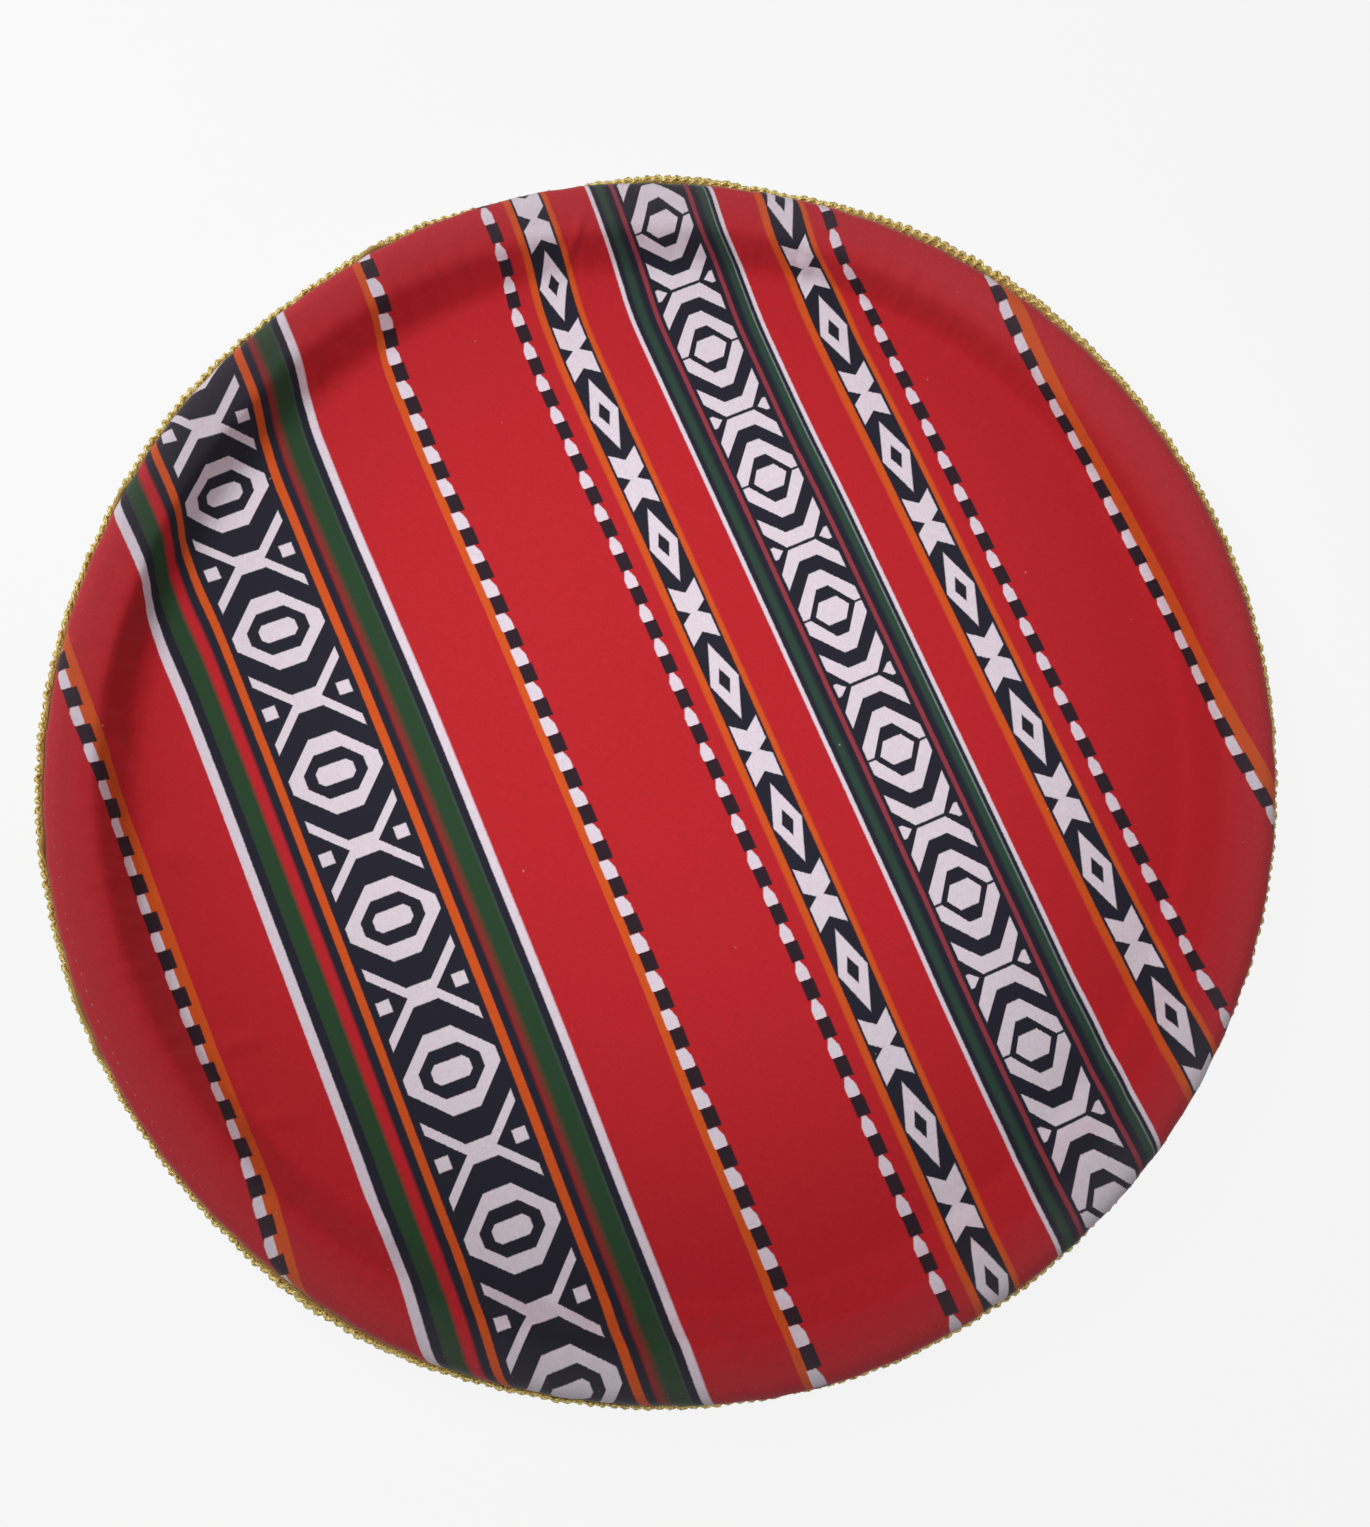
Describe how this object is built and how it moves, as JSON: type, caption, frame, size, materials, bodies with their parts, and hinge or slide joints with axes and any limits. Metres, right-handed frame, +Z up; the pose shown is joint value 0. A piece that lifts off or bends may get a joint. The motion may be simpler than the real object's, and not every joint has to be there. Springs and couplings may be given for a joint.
{
  "type": "decorative tray",
  "caption": "Round serving tray with a steep wall and sloping flange, covered inside with striped printed cloth and edged with looped gold braid.",
  "frame": {"origin": "centre of the underside that the tray rests on", "axes": "+Z up along the tray's own axis, -Y towards the near side of the picture, +X to its right"},
  "size_m": [0.5054, 0.5054, 0.029],
  "materials": {
    "tray_enamel": "worn grey enamel, satin",
    "felt": "pressed felt, matte",
    "sadu_print": "printed plain cloth in red, navy, white, green and orange, faint sheen",
    "lining_cloth": "plain dark red cloth, matte",
    "gold_yarn": "metallic gold yarn, glinting",
    "sewing_thread": "pale pink sewing thread"
  },
  "bodies": {
    "root": {"tray_shell": "tray_enamel", "floor_wadding": "felt", "rim_wadding": "felt", "sadu_cover": "sadu_print", "under_cloth": "lining_cloth", "gold_braid": "gold_yarn", "hem_thread": "sewing_thread"}
  },
  "joints": []
}
